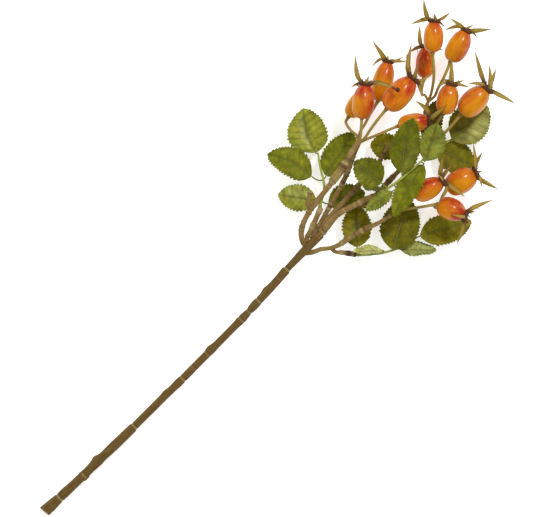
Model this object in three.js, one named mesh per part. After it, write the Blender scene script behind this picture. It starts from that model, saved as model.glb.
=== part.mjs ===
// A cut sprig of rose hips, lying on a table.
// +X runs along the stem from its cut end, +Y is to the stem's left and +Z is up. Lengths are in
// millimetres and angles in degrees. A heading turns from +X towards +Y, and a tilt rises from level.
import * as THREE from "three";

// ---------- driving dimensions ----------

const GAP = 0.35; // left between two pieces that touch

// The main stem climbs from the cut end to the fork and bows a little to its right.
const STEM = { length: 318, endHeight: 4.6, forkHeight: 25, cutSlant: 7, sides: 12 };

// How far the main stem's centre lies to its left, at stations from the cut end.
const STEM_BOW = [
  [0, 0], [20, -0.9], [45, -1.8], [100, -2.75], [155, -3.1], [225, -3], [244, -2.2], [262, -1.4],
  [276, -0.2], [290, 0.3], [318, 0.3],
];

// Radius of the main stem at stations from the cut end: short necks and swollen rings, where leaves once
// grew.
const STEM_RADII = [
  [0, 4.7], [6, 4.6], [12, 4.2], [15, 3.7], [17, 3.2], [19, 3.6], [22, 3.9], [40, 3.65], [44, 3.9],
  [46, 3.5], [52, 3.65], [60, 3.95], [63, 3.6], [98, 3.75], [101, 2.95], [104, 3.2], [146, 3.05],
  [149, 3.5], [153, 3.3], [156, 3.0], [160, 3.2], [184, 3.05], [189, 3.4], [194, 3.0], [212, 2.9], [224, 3.35],
  [229, 3.0], [232, 2.4], [235, 3.3], [239, 3.65], [244, 3.2], [254, 3.35], [268, 3.25], [275, 3.5],
  [278, 2.5], [284, 2.8], [296, 3.3], [316, 3.3],
];

const BRANCH_SIDES = 8;
const HIP_SIDES = 10;
const RING_STEP = 7; // between the rings of a branch or stalk, along it

// Branches: a route, the radius at its two ends, and swollen nodes as [share of the length, extra radius].
const BRANCHES = [
  {
    name: "left_branch",
    route: [[302, 6.6, 27.5], [304, 10, 29], [308, 14, 31], [314, 17, 32.5], [322, 19.6, 34], [333, 21.2, 35.5],
      [348, 23, 37], [367, 26, 40], [379, 29, 41], [391, 31, 41]],
    radii: [2.3, 1.9],
    nodes: [[0.34, 0.5], [0.62, 1.0], [0.72, 0.7], [0.8, 0.8], [0.92, 0.3]],
  },
  {
    name: "left_branch_stub",
    route: [[326, 25.2, 36.4], [329, 27, 37.5], [334, 30, 39]],
    radii: [2.0, 1.9],
    nodes: [],
  },
  {
    name: "inner_branch",
    route: [[312, 4, 19.4], [318, 5.8, 18.4], [326, 8, 18.6], [334, 10.1, 19.6], [342, 12.4, 20.8], [357, 17, 24],
      [371, 22, 28], [379, 26, 31], [388, 29.5, 36]],
    radii: [2.2, 1.5],
    nodes: [[0.37, 0.6], [0.62, 0.7]],
  },
  {
    name: "left_leaf_spur",
    route: [[306.5, 6, 22.4], [311, 7.6, 22.8], [316, 9.4, 22.8], [324, 12.6, 21.4], [331, 15.2, 19]],
    radii: [2.1, 2.4],
    nodes: [],
  },
  {
    name: "middle_branch",
    route: [[327.5, 4.6, 24.6], [337, 5.4, 24.6], [349, 6, 24.5], [371, 7, 25], [393, 9, 24], [407, 13, 24]],
    radii: [2.4, 1.7],
    nodes: [[0.47, 0.7]],
  },
  {
    name: "front_branch",
    route: [[322, 1, 29.5], [329, 2.1, 30.4], [337, 1.8, 31.2], [345, -0.2, 32], [353, -2.8, 32.7],
      [362, -5.6, 33.8], [373, -10, 35]],
    radii: [2.8, 2.2],
    nodes: [[0.12, 0.7], [0.75, 0.4]],
  },
  {
    name: "front_fork",
    route: [[358, -8.8, 28], [371, -9, 27.5], [388, -8, 27], [404, -8, 26], [424, -7, 26], [434, -1, 26],
      [445, 11, 28], [455, 16, 30]],
    radii: [2.4, 1.3],
    nodes: [[0.27, 0.7], [0.64, 0.8]],
  },
  {
    name: "right_branch",
    route: [[301.5, -5.2, 21.4], [307, -7.6, 20.4], [313, -12.4, 20.6], [320, -15.9, 22], [329.5, -17.8, 24.5],
      [337, -19.6, 26], [346, -22.2, 27.6], [356, -26, 30], [374, -30, 34]],
    radii: [2.2, 1.6],
    nodes: [[0.48, 0.6], [0.62, 0.7]],
  },
  {
    name: "right_leaf_spur",
    route: [[314.6, -17.8, 18.2], [318.6, -23, 17], [325, -31, 15.4]],
    radii: [1.7, 2.0],
    nodes: [],
  },
];

// Leaf stalks: each carries the leaflets of one compound leaf.
const LEAF_STALKS = [
  { name: "left_leaf_stalk", route: [[333, 17.6, 17.6], [345, 25, 16], [355, 40, 15], [361, 48, 14]] },
  { name: "front_leaf_stalk", route: [[375, -10.5, 35.5], [385, -12.4, 44], [395, -13.6, 49],
    [415, -15, 52]] },
  { name: "back_leaf_stalk", route: [[427, -10, 22.5], [432, -14, 20], [436, -17, 17], [443, -20, 14]] },
  { name: "right_leaf_stalk", route: [[326.6, -33, 15], [335, -41, 13], [349, -50, 12], [368, -56, 13]] },
];
const LEAF_STALK_RADII = [1.12, 0.8];

// Leaflets: where they spring from, the direction of the midrib, and the blade's size and shape. neck is
// the little stalk before the blade, arch lifts the midrib, lean bows it to its left, fold raises both
// halves, and roll turns the blade about its midrib, left half up.
const LEAFLETS = [
  { name: "left_leaflet_1", base: [359.8, 49.4, 14], heading: 61, tilt: 6,
    length: 37, width: 31.5, fold: 6, neck: 0.6, lean: 2.5 },
  { name: "left_leaflet_2", base: [346.5, 31.5, 15.6], heading: 108, tilt: -4,
    length: 39.5, width: 23, neck: 8, lean: -3, arch: 2 },
  { name: "left_leaflet_3", base: [350, 30, 14.1], heading: 13, tilt: 2,
    length: 41, width: 25, neck: 3, arch: -2 },
  { name: "left_leaflet_4", base: [334, 20.8, 14.4], heading: 126, tilt: -14,
    length: 32, width: 21, neck: 2, arch: 2 },
  { name: "left_leaflet_5", base: [337, 14.4, 14], heading: -28, tilt: -10,
    length: 31, width: 22, neck: 2, arch: 1 },
  { name: "front_leaflet_1", base: [379, -6.6, 41], heading: 97, tilt: 12,
    length: 28, width: 24, neck: 2, roll: 10, arch: 2 },
  { name: "front_leaflet_2", base: [395, -11.2, 51.4], heading: 34, tilt: 12,
    length: 45, width: 23, neck: 1, fold: 14, lean: 2, arch: 2 },
  { name: "front_leaflet_3", base: [414.8, -17.2, 52], heading: 27, tilt: -6,
    length: 31, width: 21, neck: 1, fold: 30, roll: 12 },
  { name: "front_leaflet_4", base: [413.4, -18, 46.6], heading: -165, tilt: -2,
    length: 47, width: 19, neck: 1, fold: 10, roll: 16, lean: -1, arch: 1 },
  { name: "front_leaflet_5", base: [378, -8.6, 38.4], heading: 138, tilt: -14,
    length: 15, width: 8, neck: 1, roll: -60 },
  { name: "front_leaflet_6", base: [385, -16.4, 42.4], heading: 171, tilt: -3,
    length: 26, width: 11, neck: 5, roll: 14 },
  { name: "back_leaflet_1", base: [443.8, -21, 15.2], heading: -1, tilt: -8,
    length: 40, width: 31, neck: 1.5, arch: 2 },
  { name: "back_leaflet_2", base: [431, -15.6, 14.6], heading: -70, tilt: -17,
    length: 35, width: 27, neck: 2, arch: 1, roll: -9 },
  { name: "back_leaflet_3", base: [428, -7.6, 18.5], heading: 30, tilt: -5,
    length: 34, width: 17, neck: 2, arch: 1 },
  { name: "right_leaflet_1", base: [328.5, -28.9, 13.4], heading: 46, tilt: -6,
    length: 35, width: 23, neck: 2, arch: 1 },
  { name: "right_leaflet_2", base: [342.7, -44.5, 17.4], heading: 138, tilt: 12,
    length: 24, width: 18, neck: 1, roll: 66 },
  { name: "right_leaflet_3", base: [348, -49.8, 14.9], heading: 28, tilt: -4,
    length: 43, width: 31, neck: 1, arch: 2 },
  { name: "right_leaflet_4", base: [353, -53.8, 10.8], heading: -46, tilt: 4,
    length: 28, width: 18, neck: 1, roll: -52 },
  { name: "right_leaflet_5", base: [370.6, -56.6, 12.6], heading: -29, tilt: -15,
    length: 45, width: 24, neck: 2, arch: 2 },
  { name: "middle_leaflet", base: [411, 3, 19], heading: 127, tilt: -14,
    length: 24, width: 21, neck: 2, arch: 1 },
];
const LEAF = { thickness: 0.9, neckRadius: 0.7, neckStart: 0.2, rib: 0.6 };

// Half-width of a leaflet's blade, as a share of its widest, at shares of its length.
const BLADE = [
  [0, 0.14], [0.07, 0.5], [0.2, 0.85], [0.38, 1], [0.56, 0.97], [0.73, 0.8], [0.87, 0.52], [0.96, 0.22],
];

// Hips: the stalk's route up to the fruit, the fruit's direction, length and width, and the five sepals of
// its calyx, each as [heading, tilt, length].
const HIPS = [
  { name: "hip_01", stalk: [[457, 17, 31], [463, 21, 36], [471, 28, 41], [476, 34, 43], [481, 40, 44]],
    heading: 42, tilt: 6, length: 24, width: 16,
    sepals: [[75, 35, 22], [-20, 25, 15], [145, 5, 19], [-75, -30, 12], [60, 70, 14]] },
  { name: "hip_02", stalk: [[458, 14, 30.5], [466, 17, 31], [476, 20, 32], [487, 25, 33]],
    heading: 18, tilt: 11, length: 27, width: 17.5,
    sepals: [[104, 30, 19], [-45, 12, 20], [135, -20, 18], [-10, -45, 11], [-80, -20, 11]] },
  { name: "hip_03", stalk: [[454, 20, 27], [453, 22, 21], [456, 25, 14], [460, 27.6, 10], [465, 30.4, 8.2]],
    heading: 42, tilt: 0, length: 24, width: 15.4,
    sepals: [[63, 16, 18], [155, 10, 15], [-60, 8, 14], [30, -8, 13], [50, 45, 11]] },
  { name: "hip_04", stalk: [[396, 36, 38], [404, 38, 35], [414, 41, 30], [424, 43.4, 26]],
    heading: 31, tilt: 6, length: 32, width: 16.5,
    sepals: [[85, 25, 22], [-50, 12, 15], [-30, -26, 14], [155, -12, 14], [40, -60, 10]] },
  { name: "hip_05", stalk: [[394, 33.5, 42], [399, 38, 42], [404, 42.4, 41.5]],
    heading: 39, tilt: 6, length: 27, width: 17.6,
    sepals: [[66, 15, 24], [150, -15, 13], [-60, 46, 35], [-30, -30, 12], [20, 60, 12]] },
  { name: "hip_06", stalk: [[395, 30, 43], [403, 31.5, 46], [413, 33, 49], [423, 34, 51]],
    heading: 4, tilt: 7, length: 31, width: 20,
    sepals: [[50, 28, 29], [60, -5, 20], [35, 60, 18], [-110, -20, 18], [-30, -5, 14]] },
  { name: "hip_07", stalk: [[432, -6.2, 27.6], [438, -5, 29], [446, -2, 34], [453, -1, 40.4]],
    heading: 31, tilt: 12, length: 24, width: 17,
    sepals: [[47, 32, 22], [155, 10, 13], [-60, 12, 15], [-30, -40, 14], [110, -45, 11]] },
  { name: "hip_08", stalk: [[429, -10, 28.5], [440, -12, 29], [450, -12.2, 31], [463.5, -10.8, 34]],
    heading: 0, tilt: 13, length: 28, width: 20,
    sepals: [[66, 25, 33], [43, 40, 23], [20, -5, 17], [-75, 8, 26], [125, 30, 19]] },
  { name: "hip_09", stalk: [[396, 28, 38], [403, 25, 37.5], [412, 21.5, 36], [421, 18, 35]],
    heading: -36, tilt: 7, length: 24, width: 16,
    sepals: [[83, 34, 23], [-3, 40, 22], [-80, 0, 17], [-115, 5, 13], [15, -45, 11]] },
  { name: "hip_10", stalk: [[376.5, -30, 35.5], [382, -30, 37], [390, -31, 39]],
    heading: -16, tilt: 10, length: 25, width: 17,
    sepals: [[47, 30, 22], [18, 20, 14], [-83, 14, 22], [-145, 5, 17], [90, 50, 12]] },
  { name: "hip_11", stalk: [[398, -50.5, 24], [402, -49, 25], [407, -47, 27], [413, -45, 29]],
    heading: -18, tilt: 8, length: 26, width: 20,
    sepals: [[54, 25, 26], [32, 20, 18], [-82, 0, 21], [-120, 30, 14], [-20, -60, 12]] },
  { name: "hip_12", stalk: [[377, -33, 33], [383, -37, 33.5], [391, -43, 34], [399.5, -48.4, 35]],
    heading: -69, tilt: 8, length: 23, width: 18,
    sepals: [[-14, 10, 25], [-152, -15, 24], [130, 30, 14], [-95, -40, 12], [-25, -40, 12]] },
  { name: "hip_13", stalk: [[392, 36, 37], [392, 42, 29], [393, 47, 21], [395, 50.4, 13], [399.6, 51.6, 8]],
    heading: 12, tilt: -1, length: 24, width: 14.6,
    sepals: [[64, 10, 9], [-16, 5, 9], [14, -10, 10], [109, 0, 9], [-76, 0, 9]] },
];
const STALK_RADII = [1.15, 1.35];

// Radius of a fruit, as a share of half its width, at shares of its length: an urn with a narrowed mouth.
const URN = [
  [0, 0.3], [0.05, 0.56], [0.16, 0.84], [0.34, 0.99], [0.54, 1], [0.73, 0.88], [0.88, 0.66], [0.97, 0.44],
];

// Calyx disc: its radius is a share of the fruit's, and its heights run along the fruit's axis.
const CALYX = { radiusShare: 0.5, height: 2.4, sectors: 10, inner: 0.6, low: 0.3, high: 0.7, dome: 0.8 };

// Sepals: each bends outwards and forwards by shares of its length, and narrows as its taper's pairs of
// share and breadth say.
const SEPAL = { width: 2.9, thickness: 0.9, bendOut: 0.2, bendForward: 0.08 };
const SEPAL_TAPER = [[0.2, 1.05], [0.45, 1], [0.7, 0.7], [0.88, 0.35]];

// ---------- colours ----------

function finish(color, roughness) {
  return new THREE.MeshStandardMaterial({ color, roughness, metalness: 0 });
}
const BARK = finish(0x6e6844, 0.75);
const STALK_GREEN = finish(0x8c9a44, 0.6);
const LEAF_GREEN = finish(0x5f7330, 0.65);
const FRUIT = finish(0xd0571c, 0.25);
const CALYX_BROWN = finish(0x5a4f2c, 0.8);

// ---------- helpers ----------

const sprig = new THREE.Group();
const vector = (point) => new THREE.Vector3(...point);

function direction(heading, tilt) {
  const round = THREE.MathUtils.degToRad(heading);
  const rise = THREE.MathUtils.degToRad(tilt);
  const flat = Math.cos(rise);
  return new THREE.Vector3(flat * Math.cos(round), flat * Math.sin(round), Math.sin(rise));
}

// The value at a station along a list of [station, value] pairs.
function valueAt(pairs, station) {
  const next = Math.max(1, pairs.findIndex(([at]) => at >= station));
  const [fromAt, from] = pairs[next - 1];
  const [toAt, to] = pairs[next];
  return THREE.MathUtils.lerp(from, to, (station - fromAt) / (toAt - fromAt));
}

// Adds a mesh from its points and triangles, with its faces turned outwards.
function addSolid(name, points, triangles, material) {
  const cross = new THREE.Vector3();
  const volumes = triangles.map(([a, b, c]) => points[a].dot(cross.crossVectors(points[b], points[c])));
  const outwards = volumes.reduce((sum, volume) => sum + volume, 0) > 0;
  const faces = outwards ? triangles : triangles.map(([a, b, c]) => [a, c, b]);
  const geometry = new THREE.BufferGeometry().setFromPoints(points);
  geometry.setIndex(faces.flat());
  geometry.computeVertexNormals();
  const mesh = new THREE.Mesh(geometry, material.clone());
  mesh.name = name;
  sprig.add(mesh);
}

// Joins rings of equally many points into one closed skin, with a point at each end.
function loft(name, startPoint, rings, endPoint, material) {
  const sides = rings[0].length;
  const points = [startPoint, ...rings.flat(), endPoint];
  const triangles = [];
  const at = (ring, side) => 1 + ring * sides + (side % sides);
  for (let side = 0; side < sides; side += 1) {
    triangles.push([0, at(0, side + 1), at(0, side)]);
    triangles.push([points.length - 1, at(rings.length - 1, side), at(rings.length - 1, side + 1)]);
    for (let ring = 0; ring < rings.length - 1; ring += 1) {
      triangles.push([at(ring, side), at(ring, side + 1), at(ring + 1, side + 1)]);
      triangles.push([at(ring, side), at(ring + 1, side + 1), at(ring + 1, side)]);
    }
  }
  addSolid(name, points, triangles, material);
}

// Round rings square to a line of centres. Each ring turns as little as it can from the one before.
function roundRings(centres, radii, sides) {
  let across = new THREE.Vector3(0, 0, 1);
  return centres.map((centre, index) => {
    const before = centres[Math.max(index - 1, 0)];
    const after = centres[Math.min(index + 1, centres.length - 1)];
    const along = after.clone().sub(before).normalize();
    across = across.clone().addScaledVector(along, -across.dot(along)).normalize();
    const other = along.clone().cross(across);
    return Array.from({ length: sides }, (unused, side) => {
      const turn = (2 * Math.PI * side) / sides;
      return centre.clone()
        .addScaledVector(across, radii[index] * Math.cos(turn))
        .addScaledVector(other, radii[index] * Math.sin(turn));
    });
  });
}

function curveThrough(route) {
  return new THREE.CatmullRomCurve3(route.map(vector), false, "centripetal");
}

// Points and shares of the length, spaced along a curve by about the ring step.
function walk(curve) {
  const count = Math.max(3, Math.round(curve.getLength() / RING_STEP));
  const shares = Array.from({ length: count + 1 }, (unused, index) => index / count);
  return { shares, centres: shares.map((share) => curve.getPointAt(share)) };
}

// ---------- stems ----------

function mainStem() {
  const slant = Math.tan(THREE.MathUtils.degToRad(STEM.cutSlant));
  const centres = STEM_RADII.map(([station]) => {
    const share = station / STEM.length;
    const height = THREE.MathUtils.lerp(STEM.endHeight, STEM.forkHeight, share);
    return new THREE.Vector3(station, valueAt(STEM_BOW, station), height);
  });
  const rings = roundRings(centres, STEM_RADII.map(([, radius]) => radius), STEM.sides);
  rings[0].forEach((point) => { point.x += slant * point.y; });
  const end = new THREE.Vector3(STEM.length, valueAt(STEM_BOW, STEM.length), STEM.forkHeight);
  loft("main_stem", centres[0], rings, end, BARK);
}

const NODE_SPREAD = 0.04; // how far a swollen node reaches along its branch, as a share of the length

function branch({ name, route, radii, nodes }) {
  const { shares, centres } = walk(curveThrough(route));
  const ringRadii = shares.map((share) => nodes.reduce(
    (radius, [at, extra]) => radius + extra * Math.exp(-(((share - at) / NODE_SPREAD) ** 2)),
    THREE.MathUtils.lerp(radii[0], radii[1], share),
  ));
  loft(name, centres[0], roundRings(centres, ringRadii, BRANCH_SIDES), centres.at(-1), BARK);
}

function leafStalk({ name, route }) {
  const { shares, centres } = walk(curveThrough(route));
  const radii = shares.map((share) => THREE.MathUtils.lerp(...LEAF_STALK_RADII, share));
  loft(name, centres[0], roundRings(centres, radii, BRANCH_SIDES), centres.at(-1), STALK_GREEN);
}

// ---------- leaflets ----------

// One row of a leaflet: eight points round the blade, from the left edge over the top to the right edge
// and back.
function leafRow(centre, side, up, halfWidth, thickness, fold) {
  const raise = Math.tan(THREE.MathUtils.degToRad(fold));
  const half = thickness / 2;
  const point = (across, lift) => centre.clone()
    .addScaledVector(side, across * halfWidth)
    .addScaledVector(up, Math.abs(across) * halfWidth * raise + lift);
  return [
    point(1, 0), point(0.5, half), point(0, half), point(-0.5, half),
    point(-1, 0), point(-0.5, -half), point(0, -half - LEAF.rib), point(0.5, -half),
  ];
}

function leaflet({
  name, base, heading, tilt, length, width, neck, roll = 0, fold = 8, arch = 0, lean = 0,
}) {
  const along = direction(heading, tilt);
  const turn = THREE.MathUtils.degToRad(roll);
  const side = new THREE.Vector3(0, 0, 1).cross(along).normalize().applyAxisAngle(along, turn);
  const up = along.clone().cross(side);
  const rows = BLADE.map(([share, breadth]) => {
    const centre = vector(base)
      .addScaledVector(along, neck + length * share)
      .addScaledVector(up, arch * Math.sin(Math.PI * share))
      .addScaledVector(side, lean * Math.sin(Math.PI * share));
    return leafRow(centre, side, up, (breadth * width) / 2, LEAF.thickness, fold);
  });
  const foot = vector(base);
  const neckCentre = foot.clone().addScaledVector(along, LEAF.neckStart);
  const neckRow = leafRow(neckCentre, side, up, LEAF.neckRadius, LEAF.neckRadius, 0);
  const tip = foot.clone().addScaledVector(along, neck + length);
  loft(name, foot, [neckRow, ...rows], tip, LEAF_GREEN);
}

// ---------- hips ----------

function hip({ name, stalk, heading, tilt, length, width }) {
  const axis = direction(heading, tilt);
  const base = vector(stalk.at(-1));
  const stalkWalk = walk(curveThrough(stalk));
  const stalkCentres = stalkWalk.centres.slice(0, -1);
  const stalkRadii = stalkWalk.shares.slice(0, -1)
    .map((share) => THREE.MathUtils.lerp(...STALK_RADII, share));
  const fruitCentres = URN.map(([share]) => base.clone().addScaledVector(axis, length * share));
  const fruitRadii = URN.map(([, radius]) => (radius * width) / 2);
  const rings = roundRings([...stalkCentres, ...fruitCentres], [...stalkRadii, ...fruitRadii], HIP_SIDES);
  const mouth = base.clone().addScaledVector(axis, length);
  loft(name, stalkCentres[0], rings, mouth, FRUIT);
}

// A disc on the fruit's mouth whose rim grows five pointed sepals.
function calyx({ name, stalk, heading, tilt, length, width, sepals }) {
  const axis = direction(heading, tilt);
  const mouth = vector(stalk.at(-1)).addScaledVector(axis, length + GAP);
  const radius = (CALYX.radiusShare * width) / 2;
  const side = new THREE.Vector3(0, 0, 1).cross(axis).normalize();
  const up = axis.clone().cross(side);

  // Sepals leave the rim in the order of their angle about the axis.
  const tips = sepals.map(([sepalHeading, sepalTilt, sepalLength]) => {
    const away = direction(sepalHeading, sepalTilt);
    const angle = Math.atan2(away.dot(up), away.dot(side));
    return { away, angle, sepalLength };
  }).sort((one, two) => one.angle - two.angle);
  const sector = (2 * Math.PI) / CALYX.sectors;
  const drift = tips.reduce((sum, tip, index) => sum + tip.angle - 2 * index * sector, 0) / tips.length;

  const points = [mouth.clone()];
  const ring = (radiusShare, heightShare) => {
    const first = points.length;
    for (let step = 0; step < CALYX.sectors; step += 1) {
      const angle = drift + (step - 0.5) * sector;
      points.push(mouth.clone()
        .addScaledVector(side, radius * radiusShare * Math.cos(angle))
        .addScaledVector(up, radius * radiusShare * Math.sin(angle))
        .addScaledVector(axis, CALYX.height * heightShare));
    }
    return (step) => first + (step % CALYX.sectors);
  };
  const under = ring(CALYX.inner, 0);
  const low = ring(1, CALYX.low);
  const high = ring(1, CALYX.high);
  const over = ring(CALYX.inner, 1);
  const centre = points.push(mouth.clone().addScaledVector(axis, CALYX.height * CALYX.dome)) - 1;

  const triangles = [];
  const quad = (a, b, c, d) => triangles.push([a, b, c], [a, c, d]);
  for (let step = 0; step < CALYX.sectors; step += 1) {
    triangles.push([0, under(step + 1), under(step)], [centre, over(step), over(step + 1)]);
    quad(under(step), under(step + 1), low(step + 1), low(step));
    quad(high(step), high(step + 1), over(step + 1), over(step));
    if (step % 2) quad(low(step), low(step + 1), high(step + 1), high(step));
  }

  tips.forEach(({ away, sepalLength }, index) => {
    const step = 2 * index;
    let section = [low(step), low(step + 1), high(step + 1), high(step)];
    const root = section
      .reduce((sum, corner) => sum.add(points[corner]), new THREE.Vector3())
      .divideScalar(section.length);
    const outward = root.clone().sub(mouth);
    outward.addScaledVector(axis, -outward.dot(axis)).normalize();
    const bend = root.clone()
      .addScaledVector(outward, sepalLength * SEPAL.bendOut)
      .addScaledVector(axis, sepalLength * SEPAL.bendForward);
    const tip = mouth.clone()
      .addScaledVector(axis, CALYX.height / 2)
      .addScaledVector(away, sepalLength);
    const curve = new THREE.QuadraticBezierCurve3(root, bend, tip);
    const across = points[section[1]].clone().sub(points[section[0]]).normalize();
    SEPAL_TAPER.forEach(([share, breadth]) => {
      const place = curve.getPoint(share);
      const forward = curve.getTangent(share);
      const sideways = across.clone().addScaledVector(forward, -across.dot(forward)).normalize();
      const thick = forward.clone().cross(sideways);
      const wide = (SEPAL.width * breadth) / 2;
      const deep = (SEPAL.thickness * (1 + breadth)) / 4;
      const next = [[-1, -1], [1, -1], [1, 1], [-1, 1]].map(([wideSign, deepSign]) => points.push(
        place.clone().addScaledVector(sideways, wide * wideSign).addScaledVector(thick, deep * deepSign),
      ) - 1);
      section.forEach((corner, index4) => {
        const follower = (index4 + 1) % 4;
        quad(corner, section[follower], next[follower], next[index4]);
      });
      section = next;
    });
    const point = points.push(tip) - 1;
    section.forEach((corner, index4) => triangles.push([corner, section[(index4 + 1) % 4], point]));
  });
  addSolid(name.replace("hip", "calyx"), points, triangles, CALYX_BROWN);
}

// ---------- the sprig ----------

mainStem();
BRANCHES.forEach(branch);
LEAF_STALKS.forEach(leafStalk);
LEAFLETS.forEach(leaflet);
HIPS.forEach(hip);
HIPS.forEach(calyx);

// The origin is under the middle of the sprig, on the table.
const box = new THREE.Box3().setFromObject(sprig);
const middle = box.getCenter(new THREE.Vector3());
sprig.position.set(-middle.x, -middle.y, -box.min.z);

export default sprig;
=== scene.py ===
"""Looks for the rose hip sprig: bark, toothed leaflets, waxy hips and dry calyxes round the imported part."""

import math
import random
from math import cos, pi, sin

import bpy
import numpy as np
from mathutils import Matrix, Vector, noise


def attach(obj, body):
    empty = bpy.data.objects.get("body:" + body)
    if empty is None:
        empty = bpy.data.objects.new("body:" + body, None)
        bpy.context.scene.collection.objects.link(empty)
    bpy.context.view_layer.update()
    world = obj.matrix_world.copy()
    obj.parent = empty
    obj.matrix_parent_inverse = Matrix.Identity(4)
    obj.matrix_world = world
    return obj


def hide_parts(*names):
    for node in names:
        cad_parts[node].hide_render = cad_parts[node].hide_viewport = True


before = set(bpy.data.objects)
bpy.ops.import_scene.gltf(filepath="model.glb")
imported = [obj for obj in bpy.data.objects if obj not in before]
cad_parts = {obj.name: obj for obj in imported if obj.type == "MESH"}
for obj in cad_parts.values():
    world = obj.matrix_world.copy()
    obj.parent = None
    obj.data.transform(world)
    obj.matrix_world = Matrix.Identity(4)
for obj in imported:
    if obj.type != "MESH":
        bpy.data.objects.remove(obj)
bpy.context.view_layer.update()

MM = 0.001
FULL_TURN = 2 * pi
FAN = 8  # an end point of a packed tube has this many neighbours or more

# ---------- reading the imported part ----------


def welded(node):
    """A CAD node's corner points, and each point's neighbours."""
    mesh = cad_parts[node].data
    number, points, of_vertex = {}, [], []
    for vertex in mesh.vertices:
        key = tuple(round(value, 6) for value in vertex.co)
        if key not in number:
            number[key] = len(points)
            points.append(np.array(vertex.co))
        of_vertex.append(number[key])
    near = [set() for point in points]
    for edge in mesh.edges:
        a, b = (of_vertex[index] for index in edge.vertices)
        if a != b:
            near[a].add(b)
            near[b].add(a)
    return np.array(points), near


def levels_from(start, near, limit=10**6):
    """Points by how many edges they are from the start."""
    levels, seen = [[start]], {start}
    while len(levels) <= limit:
        ahead = sorted({n for index in levels[-1] for n in near[index]} - seen)
        if not ahead:
            break
        seen.update(ahead)
        levels.append(ahead)
    return levels


def walk_ring(ring, near):
    """The points of one ring in order round it."""
    inside, order = set(ring), [ring[0]]
    while len(order) < len(ring):
        step = sorted((near[order[-1]] & inside) - set(order))
        if not step:
            break
        order.append(step[0])
    return order


def lofted(node):
    """A lofted CAD node as its two end points and its rings, each in order round."""
    points, near = welded(node)
    ends = [index for index in range(len(points)) if len(near[index]) >= FAN]
    levels = levels_from(ends[0], near)
    rings = [points[walk_ring(level, near)] for level in levels[1:-1]]
    return points[ends[0]], rings, points[levels[-1][0]]


def spine(node):
    """Centres and radii of a CAD tube's rings, from one end to the other."""
    rings = lofted(node)[1]
    centres = np.array([ring.mean(0) for ring in rings])
    radii = np.array([np.linalg.norm(ring - ring.mean(0), axis=1).mean() for ring in rings])
    return centres, radii


# ---------- curves ----------


def unit(vector):
    return vector / max(np.linalg.norm(vector), 1e-12)


def smooth(xs, ys, at):
    """A smooth curve through (xs, ys), read at the given places."""
    xs, ys, at = np.asarray(xs, float), np.asarray(ys, float), np.asarray(at, float)
    slopes = np.gradient(ys, xs, axis=0)
    index = np.clip(np.searchsorted(xs, at) - 1, 0, len(xs) - 2)
    gap = xs[index + 1] - xs[index]
    share = np.clip((at - xs[index]) / gap, 0, 1)
    if ys.ndim > 1:
        gap, share = gap[:, None], share[:, None]
    rest = 1 - share
    return (
        ys[index] * (1 + 2 * share) * rest**2
        + ys[index + 1] * share**2 * (3 - 2 * share)
        + slopes[index] * gap * share * rest**2
        - slopes[index + 1] * gap * share**2 * rest
    )


def lengths(points):
    """Distance along a line of points, at each point."""
    steps = np.linalg.norm(np.diff(points, axis=0), axis=1)
    return np.concatenate([[0], np.cumsum(steps)])


def softened(values, passes):
    """Values with their corners eased, both ends kept."""
    values = np.array(values, float)
    for turn in range(passes):
        values[1:-1] = values[1:-1] / 2 + (values[:-2] + values[2:]) / 4
    return values


def resample(points, radii, step):
    """A finer line through points, about one step apart, with its radii and distances."""
    along = lengths(points)
    count = max(4, int(round(along[-1] / step)))
    at = np.linspace(0, along[-1], count + 1)
    return smooth(along, points, at), softened(np.interp(at, along, radii), 2), at


def frames(centres, across):
    """For each point of a line: the way along it, and two ways square to it that turn as little as can be."""
    ahead = np.gradient(centres, axis=0)
    ahead /= np.linalg.norm(ahead, axis=1)[:, None]
    sides, ups = [], []
    for direction in ahead:
        across = unit(across - direction * across.dot(direction))
        sides.append(across)
        ups.append(np.cross(direction, across))
    return ahead, np.array(sides), np.array(ups)


def ease(value, low, high):
    """0 below low, 1 above high, smooth between."""
    share = np.clip((np.asarray(value, float) - low) / (high - low), 0, 1)
    return share * share * (3 - 2 * share)


def bump(value, centre, width):
    """1 at the centre, falling away over the width."""
    return np.exp(-(((np.asarray(value, float) - centre) / width) ** 2))


def ripple(x, y, z):
    return noise.noise(Vector((x, y, z)))


def rgb(red, green, blue):
    """An 8-bit colour as scene-linear light."""
    share = np.array([red, green, blue], float) / 255
    return np.where(share <= 0.04045, share / 12.92, ((share + 0.055) / 1.055) ** 2.4)


def heading(degrees, tilt=0):
    """A direction from its heading and its rise, in degrees."""
    turn, rise = math.radians(degrees), math.radians(tilt)
    return np.array([cos(rise) * cos(turn), cos(rise) * sin(turn), sin(rise)])


# ---------- pieces ----------


def round_turns(sides):
    """Angles at even steps round a circle."""
    return np.linspace(0, FULL_TURN, sides, endpoint=False)


def both_sides(top, under=None):
    """Rows of values across a blade's top, carried on back across its underside."""
    under = top if under is None else under
    return np.concatenate([top, under[:, ::-1]], 1)


GRAIN_PITCH = 6 * MM  # length of tube for each unit of the grain
CAP_PITCH = 0.5 * MM  # and how far the grain runs on over each closing ring


def enclosed(points, faces):
    """Six times the volume that faces close off with the origin: above 0 when they face outwards."""
    corners = points[np.array(faces)]
    return sum(
        np.sum(corners[:, 0] * np.cross(corners[:, k], corners[:, k + 1]))
        for k in range(1, corners.shape[1] - 1))


def add(name, data):
    """A new object in the scene."""
    thing = bpy.data.objects.new(name, data)
    bpy.context.scene.collection.objects.link(thing)
    return thing


VECTORS = ("grain", "tint")  # values with three numbers at each point


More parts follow.
